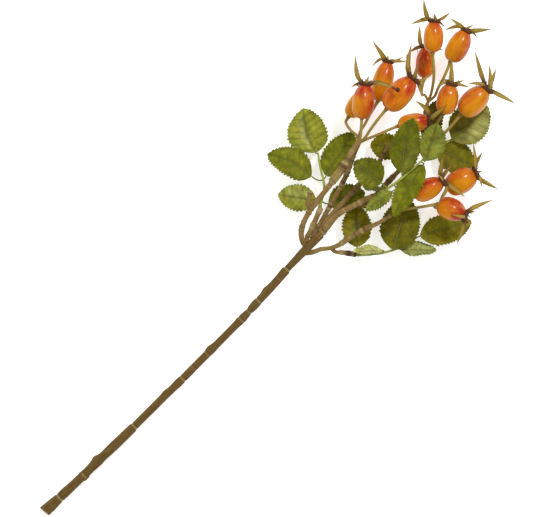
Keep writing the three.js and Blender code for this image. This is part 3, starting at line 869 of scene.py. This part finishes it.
def leaflet(node, parent, tint, sheen_and_tone_patch, seed):
    """One leaflet: a thin toothed blade, quilted between its side veins, on its midrib."""
    start, length, read = leaf_reader(node)
    tops, lows, tints, rungs, edges, spots = blade(read, length, tint, sheen_and_tone_patch, random.Random(seed), seed)
    under = blend(tints, UNDER, np.full(tints.shape[:2], 0.65))
    piece = Piece(node + "_blade", LEAF, "leaf_blade", node)
    piece.grid(
        both_sides(tops, lows), tint=both_sides(tints, under), rung=both_sides(rungs),
        across=both_sides(edges), grain=both_sides(spots, spots + 50))
    midrib(piece, read, start, LINES[parent])
    piece.make(sharp=60)


seed = 0
for leaf, leaflets in LEAVES.items():
    for number, (tint, sheen_and_tone_patch) in enumerate(leaflets, 1):
        seed += 1
        node = f"{leaf}_leaflet_{number}" if len(leaflets) > 1 else leaf + "_leaflet"
        leaflet(node, STRAYS.get(node, leaf + "_leaf_stalk"), tint, sheen_and_tone_patch, seed)

# ---------- hips ----------

AMBER = rgb(208, 132, 4)
ORANGE = rgb(202, 106, 6)
RED_ORANGE = rgb(192, 66, 18)
RED = rgb(172, 34, 28)
DARK_RED = rgb(148, 44, 16)
MOUTH_BROWN = rgb(96, 40, 20)
BASE_OLIVE = rgb(150, 104, 30)

# Hips: where the stalk springs from, base tint, flushes as (heading, tilt, sharpness, tint, strength), how
# red the mouth end is, and furrows as (heading, tilt, depth in mm, half-width in radians).
HIPS = {
    "hip_01": ("front_fork", AMBER, [(-45, 20, 1.5, RED_ORANGE, 0.8), (150, 10, 2, RED_ORANGE, 0.6)],
               0.8, []),
    "hip_02": ("front_fork", AMBER, [(-50, 25, 1.0, RED, 1.0), (110, 45, 1.2, AMBER, 0.7)], 0.5, []),
    "hip_03": ("front_fork", RED_ORANGE, [(110, 40, 1, DARK_RED, 0.6), (-50, 20, 1.5, ORANGE, 0.8)], 0.4, []),
    "hip_04": ("left_branch", ORANGE, [(130, 30, 1.5, AMBER, 0.8), (-45, 20, 2, AMBER, 0.8)], 0.6,
               [(-50, 60, 0.8, 0.2)]),
    "hip_05": ("left_branch", ORANGE, [(-25, 35, 1.0, RED, 1.0), (150, 20, 1, AMBER, 0.95)], 0.9, []),
    "hip_06": ("left_branch", ORANGE, [(0, 50, 1, RED_ORANGE, 0.95), (-120, 15, 1.2, AMBER, 0.7)], 1.0, []),
    "hip_07": ("front_fork", AMBER, [(140, 15, 1.3, RED_ORANGE, 0.8), (-40, 10, 2, RED, 0.6)], 0.4, []),
    "hip_08": ("front_fork", AMBER, [(100, 20, 1.3, RED_ORANGE, 0.85), (-80, 10, 3, ORANGE, 0.5)], 0.3,
               [(75, 50, -0.8, 0.2), (60, 68, 0.5, 0.16)]),
    "hip_09": ("left_branch", AMBER, [(45, 30, 2, ORANGE, 0.6)], 1.0, []),
    "hip_10": ("right_branch", ORANGE, [(90, 35, 1, RED, 0.95), (-100, 35, 1.5, AMBER, 0.7)], 0.6, []),
    "hip_11": ("hip_12", AMBER, [(60, 15, 1.2, RED_ORANGE, 0.9), (-110, 0, 2, ORANGE, 0.6)], 0.5, []),
    "hip_12": ("right_branch", ORANGE, [(0, 40, 1.3, RED, 1.0), (150, 30, 1.5, AMBER, 0.7)], 0.85, []),
    "hip_13": ("left_branch", AMBER, [(160, 10, 2, ORANGE, 0.5)], 0.3, []),
}

# The fruit's outline: half-widths as shares of the greatest, at shares of its length.
URN_AT = [0, 0.012, 0.04, 0.1, 0.2, 0.34, 0.5, 0.66, 0.8, 0.9, 0.96, 1.0]
URN_WIDE = [0.16, 0.34, 0.52, 0.72, 0.89, 0.985, 1.0, 0.955, 0.83, 0.67, 0.54, 0.45]


FRUIT_RINGS = 8  # rings of a packed hip that belong to its fruit, the rest to its stalk
HIP_ROWS, HIP_SIDES = 72, 72
STALK_OLIVE = rgb(140, 112, 48)
STALK_TAN = rgb(158, 138, 60)
STALK_BROWN = rgb(122, 84, 34)


def hip_axis(node):
    """A hip's stalk centres and radii, and its fruit's start, direction, length and greatest radius."""
    centres, radii = spine(node)
    if radii[0] > radii[-1]:
        centres, radii = centres[::-1], radii[::-1]
    line = centres[-FRUIT_RINGS:]
    ahead = unit(line[-1] - line[0])
    length = np.linalg.norm(line[-1] - line[0]) / 0.97
    return centres[:-FRUIT_RINGS], radii[:-FRUIT_RINGS], line[0], ahead, length, radii[-FRUIT_RINGS:].max()


def fruit_scale(shares, turns, seed):
    """A fruit's radius at each row and turn, as a share of its profile: faint lobes, dents and a lean."""
    rng = random.Random(seed)
    lobes, tilt = rng.uniform(0, 6.28), rng.uniform(-0.03, 0.03)
    scale = np.ones((len(shares), len(turns)))
    for row, share in enumerate(shares):
        for column, turn in enumerate(turns):
            swell = 0.012 * cos(5 * turn + lobes) * (0.4 + share)
            swell += 0.035 * ripple(cos(turn) + seed * 5, sin(turn), share * 1.8)
            swell += tilt * cos(turn + lobes) * sin(pi * share)
            scale[row, column] += swell
    return scale


def fruit_tints(shares, turns, spread, tint, flushes, mouth, seed):
    """A fruit's colours: its flushes, a ragged red mouth end, a brown mouth and an olive base."""
    tints = tint
    body = np.sin(pi * np.clip(shares, 0.1, 0.95))[:, None] ** 0.4
    for direction, rise, power, colour, strength in flushes:
        facing = np.clip(spread.dot(heading(direction, rise)), 0, 1) ** power
        tints = blend(tints, colour, strength * facing[None] * body)
    ragged = np.array([
        [ripple(cos(turn) * 1.2 + seed, sin(turn) * 1.2, share * 2) for turn in turns]
        for share in shares])
    tints = blend(tints, RED, mouth * ease(shares[:, None] + 0.3 * ragged, 0.55, 0.95))
    tints = blend(tints, MOUTH_BROWN, 0.7 * ease(shares, 0.965, 1.0)[:, None])
    return blend(tints, BASE_OLIVE, 0.6 * (1 - ease(shares, 0.0, 0.05))[:, None])


def hip(node, parent, tint, flushes, mouth, furrows, seed):
    """One fruit and the stalk that it grows on."""
    stalk, stalk_radii, base, ahead, length, radius = hip_axis(node)
    shares = 0.5 - 0.5 * np.cos(np.linspace(0, pi, HIP_ROWS + 1))
    turns = round_turns(HIP_SIDES)
    side = unit(np.cross(ahead, [0, 0, 1.0]))
    up = np.cross(side, ahead)
    spread = side[None] * np.cos(turns)[:, None] + up[None] * np.sin(turns)[:, None]
    scale = fruit_scale(shares, turns, seed)
    for direction, rise, depth, wide in furrows:
        target = heading(direction, rise)
        angle = math.atan2(target.dot(up), target.dot(side))
        gap = np.abs(np.mod(turns - angle + pi, FULL_TURN) - pi)
        crease = np.exp(-((gap / wide) ** 2))[None] * np.sin(pi * shares ** 0.7)[:, None]
        scale -= depth * MM / radius * crease
    profile = smooth(URN_AT, URN_WIDE, shares) * radius
    axis = base[None] + ahead[None] * (shares * length)[:, None]
    points = axis[:, None] + spread[None] * (profile[:, None] * scale)[..., None]
    tints = fruit_tints(shares, turns, spread, tint, flushes, mouth, seed)
    local = np.stack(np.broadcast_arrays(
        np.cos(turns)[None] * 3.0 + seed * 9, np.sin(turns)[None] * 3.0,
        (shares * length / MM / 2.2)[:, None]), 2)
    fruit = Piece(node + "_fruit", HIP, "hip_skin", node)
    fruit.grid(points, tint=tints, grain=local)
    fruit.make()
    fruit_stalk(node, parent, np.vstack([stalk, base + ahead * 0.6 * MM]), stalk_radii, seed)
    return ahead, radius


def fruit_stalk(node, parent, line, radii, seed):
    """A fruit's stalk, from its parent into the base of the fruit, where it swells and browns."""
    radii = np.append(radii, radii[-1] * 1.1)
    if parent in LINES:
        line, radii = graft(line, radii, LINES[parent], 3.0)
    fine, width, at = resample(line, radii * 0.92, FINE_STEP)
    share = at / at[-1]
    width = width * (1 + 0.45 * ease(share, 0.9, 1.0) + 0.1 * bump(share, 0.0, 0.06))
    colour = blend(blend(STALK_OLIVE, STALK_TAN, share), STALK_BROWN, 0.5 * ease(share, 0.85, 1.0))
    skin = Piece(node + "_stalk", STALK, "leaf_stalk", node)
    tube(skin, fine, width, 14, shape=bark_shape(seed * 1.3, 1.6, 0.1), tint=colour)
    skin.make()
    LINES[node] = fine


FRUITS = {}
for node in sorted(HIPS, key=lambda name: HIPS[name][0] == "hip_12"):
    FRUITS[node] = hip(node, *HIPS[node], seed=int(node[-2:]))

# ---------- calyxes ----------

SEPAL_TAN = rgb(168, 138, 62)
SEPAL_OLIVE = rgb(148, 128, 48)
SEPAL_BROWN = rgb(98, 62, 32)
CROWN = rgb(92, 58, 36)
SEPAL_AT = [0, 0.12, 0.3, 0.5, 0.7, 0.86, 1.0]
SEPAL_WIDE = [0.8, 0.95, 1.0, 0.86, 0.6, 0.32, 0.05]
SEPAL_BREADTH = 1.25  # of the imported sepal's half-width
SEPAL_FULL = 20 * MM  # sepals shorter than this are narrower too
SEPAL_TWIST = 0.7  # how far a sepal turns its face up, from its base to its middle
STAMENS = {"calyx_08": 34, "calyx_05": 16, "calyx_12": 18, "calyx_10": 14, "calyx_11": 12, "calyx_09": 9}
FEW_STAMENS = 5
KNOB = ("calyx_05", 1.9 * MM)  # the calyx whose longest sepal ends in a dried knob, and the knob's radius
KNOB_THREAD = (0.9 * MM, 0.6 * MM)  # radii of the dried thread from the sepal's end into its knob
DISC_CORNERS, TIP_CORNERS, SEPAL_RINGS = 10, 4, 5  # how a packed calyx is made
SEPAL_ROWS, SEPAL_COLUMNS = 34, 9
SEPAL_BODY = 0.85 * MM
CROWN_SIDES = 48
# The crown's outline, as (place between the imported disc's faces, share of the mouth's radius).
CROWN_ROWS = (
    (-0.45, 0.95), (0.0, 1.14), (0.4, 1.26), (0.85, 1.2), (1.15, 0.98), (1.1, 0.7), (0.8, 0.42), (0.95, 0.25),
    (1.05, 0.08))


def calyx_parts(node):
    """A calyx disc's middle on its two faces, and each sepal's foot, sections and tip."""
    points, near = welded(node)
    ahead, radius = FRUITS[node.replace("calyx", "hip")]
    discs = [index for index in range(len(points)) if len(near[index]) == DISC_CORNERS]
    low, high = sorted((points[index] for index in discs), key=lambda point: point.dot(ahead))
    sepals = []
    for tip in range(len(points)):
        if not len(near[tip]) == TIP_CORNERS == len(levels_from(tip, near, 1)[1]):
            continue
        levels = levels_from(tip, near, SEPAL_RINGS)
        sections = []
        for level in levels[-2:0:-1]:
            corners = points[walk_ring(level, near)]
            first, second = corners[0] - corners[2], corners[1] - corners[3]
            wide = max(first, second, key=np.linalg.norm)
            sections.append((corners.mean(0), wide / 2))
        sepals.append((points[levels[-1]].mean(0), sections, points[tip]))
    return low, high, sepals, radius * 0.5


def knob(piece, middle, direction, radius, tint):
    """A small wrinkled ball."""
    turns = np.linspace(0, pi, 13)
    line = middle - direction * (np.cos(turns) * radius)[:, None]
    wrinkled = bark_shape(middle[0] * 500, 1.3, 0.22)
    radii = np.sin(turns) * radius + 1e-5
    tube(piece, line, radii, 12, square=direction[[1, 2, 0]], shape=wrinkled, tint=tint)


def filament(piece, start, direction, length, radius, rng, head, tint):
    """A thin curled thread, with a small knob at its end if asked."""
    bend = unit(np.array([rng.uniform(-1, 1) for axis in range(3)]))
    steps = np.linspace(0, 1, 6)[:, None]
    line = start + direction * length * steps + bend * length * 0.35 * steps**2
    width = np.linspace(radius, radius * 0.6, 6)
    tube(piece, line, width, 5, square=bend + 0.01, tint=tint)
    if head:
        knob(piece, line[-1], unit(line[-1] - line[-2]), head, tint * 0.6)


def sepal(piece, foot, sections, tip, inward, rng):
    """One sepal: a keeled lance-shaped blade with curled margins and a drawn-out tip."""
    centres = np.array([foot * 0.55 + inward * 0.45] + [section[0] for section in sections] + [tip])
    at = lengths(centres)
    half = max(np.linalg.norm(section[1]) for section in sections) * SEPAL_BREADTH
    half *= np.clip(at[-1] / SEPAL_FULL, 0.55, 1)
    at /= at[-1]
    share = np.linspace(0, 1, SEPAL_ROWS + 1)
    line = softened(np.stack([np.interp(share, at, centres[:, axis]) for axis in range(3)], 1), 12)
    wide = np.maximum(np.interp(share, SEPAL_AT, SEPAL_WIDE) * half, 0.1 * MM)
    ahead, side, up = frames(line, unit(sections[0][1]))
    halfway = SEPAL_ROWS // 2
    level = np.cross(ahead[halfway], [0, 0, 1.0])
    angle = math.atan2(level.dot(up[halfway]), level.dot(side[halfway]))
    angle -= pi * round(angle / pi)
    twist = (angle * SEPAL_TWIST * ease(share, 0.0, 0.4))[:, None]
    side, up = side * np.cos(twist) + up * np.sin(twist), up * np.cos(twist) - side * np.sin(twist)
    across = np.linspace(-1, 1, SEPAL_COLUMNS)
    cup = rng.uniform(0.25, 0.55)
    curl = np.abs(across)[None] ** 2 * wide[:, None] * cup
    ragged = np.array([[0.06 * ripple(s * 14 + foot[0] * 900, u * 2, 0) for u in across] for s in share])
    reach = across[None] * wide[:, None] * (1 + ragged)
    body = SEPAL_BODY * (1 - 0.62 * np.abs(across)[None] ** 2) * (0.35 + 0.65 * (1 - share[:, None] ** 3))
    middle = line[:, None] + side[:, None] * reach[..., None] + up[:, None] * curl[..., None]
    top = middle + up[:, None] * (body * 0.7)[..., None]
    keel = 0.35 * MM * bump(across, 0, 0.25)[None] * (1 - share[:, None])
    bottom = middle - up[:, None] * (body + keel)[..., None]
    base = blend(SEPAL_OLIVE, SEPAL_TAN, rng.random())
    tint = blend(base, SEPAL_BROWN, 0.85 * (1 - ease(share, 0.08, 0.34)))
    tint = blend(tint, SEPAL_BROWN, 0.45 * ease(share, 0.84, 1.0))
    tints = blend(tint[:, None].repeat(SEPAL_COLUMNS, 1), SEPAL_BROWN, 0.55 * np.abs(across)[None] ** 3)
    spot = np.stack(np.broadcast_arrays(across[None], rng.uniform(0, 50), (share * 5)[:, None]), 2)
    piece.grid(both_sides(top, bottom), tint=both_sides(tints), grain=both_sides(spot, spot + 20))
    for hair in range(rng.choice((0, 0, 1, 2))):
        row = int(SEPAL_ROWS * rng.uniform(0.3, 0.62))
        edge = rng.choice((-1, 1))
        start = line[row] + side[row] * wide[row] * edge * 0.8 + up[row] * curl[row, 0] * 0.6
        out = unit(side[row] * edge + (line[row + 1] - line[row - 1]) / (2 * MM) * 0.8)
        filament(piece, start, out, rng.uniform(1.5, 3.2) * MM, 0.2 * MM, rng, 0, SEPAL_BROWN)


def crown(piece, low, high, side, up, radius, seed):
    """The dark lobed disc at the mouth of a hip."""
    turns = round_turns(CROWN_SIDES)
    points = np.empty((len(CROWN_ROWS), CROWN_SIDES, 3))
    for row, (level, wide) in enumerate(CROWN_ROWS):
        for column, turn in enumerate(turns):
            east, north = cos(turn), sin(turn)
            lobe = 1 + 0.1 * cos(10 * turn + seed) + 0.16 * ripple(east * 2.5, north * 2.5, seed + level)
            step = level + 0.14 * ripple(east * 3, north * 3, seed * 2)
            out = side * east + up * north
            points[row, column] = low + (high - low) * step + out * radius * wide * lobe
    piece.grid(points, tint=np.broadcast_to(CROWN, points.shape), grain=(points - low) / (1.5 * MM))


def knobbed_end(piece, sections, tip):
    """The dried thread at the end of a sepal, and the knob on it."""
    out = unit(tip - sections[-1][0])
    thread = np.linspace(sections[-1][0], tip + out * KNOB[1], 8)
    tube(piece, thread, np.linspace(*KNOB_THREAD, 8), 8, tint=SEPAL_BROWN)
    knob(piece, thread[-1], out, KNOB[1], CROWN * 0.7)


def calyx(node, seed):
    """A dark lobed crown at the mouth of the hip, five sepals and a tuft of dried stamens."""
    rng = random.Random(100 + seed)
    low, high, sepals, radius = calyx_parts(node)
    ahead = unit(high - low)
    side = unit(np.cross(ahead, [0.3, 0.2, 1.0]))
    up = np.cross(side, ahead)
    piece = Piece(node + "_crown", SEPAL, "calyx", node)
    crown(piece, low, high, side, up, radius, seed)
    for foot, sections, tip in sepals:
        sepal(piece, foot, sections, tip, (low + high) / 2, rng)
    if node == KNOB[0]:
        foot, sections, tip = max(sepals, key=lambda parts: np.linalg.norm(parts[2] - parts[0]))
        knobbed_end(piece, sections, tip)
    for hair in range(STAMENS.get(node, FEW_STAMENS)):
        turn = rng.uniform(0, FULL_TURN)
        out = side * cos(turn) + up * sin(turn)
        start = high - ahead * 0.3 * MM + out * radius * rng.uniform(0.3, 0.85)
        way = unit(ahead * rng.uniform(0.2, 1.0) + out * rng.uniform(0.3, 1.2))
        filament(piece, start, way, rng.uniform(1.8, 4.2) * MM, 0.14 * MM, rng, 0.36 * MM, CROWN)
    piece.make(sharp=70)


for node in sorted(FRUITS):
    calyx(node.replace("hip", "calyx"), int(node[-2:]))

# ---------- floor, light and camera ----------


FLOOR_HALF = 3.0
FLOOR_GREY = (0.93, 0.93, 0.93, 1)
WHITE = (1, 1, 1, 1)
SURROUND, SURROUND_IN_GLOSS = 0.6, 0.05  # its strength, and the strength that glossy rays see
LAMPS = (("key", (0.95, 0.15, 1.35), 0.3, 14.0), ("fill", (-0.8, 1.0, 1.7), 2.2, 8.0))  # place, width, watts
CAMERA_FROM_CUT = (0.2788, 0.01035)  # along and across the stem from its cut end
CAMERA_HEIGHT, CAMERA_LENS = 2.4, 191.1  # metres, and mm on a 36 mm frame


def floor():
    mesh = bpy.data.meshes.new("floor")
    corners = [(x * FLOOR_HALF, y * FLOOR_HALF, 0) for x, y in ((-1, -1), (1, -1), (1, 1), (-1, 1))]
    mesh.from_pydata(corners, [], [(0, 1, 2, 3)])
    nodes = Nodes("floor_white", Roughness=0.9, Specular_IOR_Level=0.1, Emission_Strength=0.5)
    nodes.shader.inputs["Base Color"].default_value = FLOOR_GREY
    nodes.shader.inputs["Emission Color"].default_value = WHITE
    mesh.materials.append(nodes.material)
    add("floor", mesh)


def surround():
    """An even white surround, which glossy things see dimmer."""
    world = bpy.data.worlds.new("surround")
    bpy.context.scene.world = world
    world.use_nodes = True
    tree = world.node_tree
    background = tree.nodes["Background"]
    background.inputs["Color"].default_value = WHITE
    rays = tree.nodes.new("ShaderNodeLightPath")
    dim = tree.nodes.new("ShaderNodeMapRange")
    dim.inputs["To Min"].default_value, dim.inputs["To Max"].default_value = SURROUND, SURROUND_IN_GLOSS
    tree.links.new(rays.outputs["Is Glossy Ray"], dim.inputs["Value"])
    tree.links.new(dim.outputs["Result"], background.inputs["Strength"])


def lamps():
    """Soft lamps overhead. Only the key lamp shows in gloss."""
    for name, place, size, power in LAMPS:
        data = bpy.data.lights.new(name, "AREA")
        data.shape, data.size, data.energy = "DISK", size, power
        lamp = add(name, data)
        lamp.location = place
        lamp.rotation_euler = (-Vector(place)).to_track_quat("-Z", "Y").to_euler()
        lamp.visible_glossy = name == "key"


def camera():
    """Straight above the sprig, with the stem running up the picture from lower left to upper right."""
    cut_end = LINES["main_stem"][0]
    data = bpy.data.cameras.new("camera")
    data.sensor_width, data.lens = 36.0, CAMERA_LENS
    data.clip_start, data.clip_end = 0.1, 20.0
    view = add("camera", data)
    view.location = (cut_end[0] + CAMERA_FROM_CUT[0], cut_end[1] + CAMERA_FROM_CUT[1], CAMERA_HEIGHT)
    view.rotation_euler = (0, 0, math.radians(-45))
    bpy.context.scene.camera = view


floor()
surround()
lamps()
camera()
bpy.context.scene.view_settings.view_transform = "Standard"
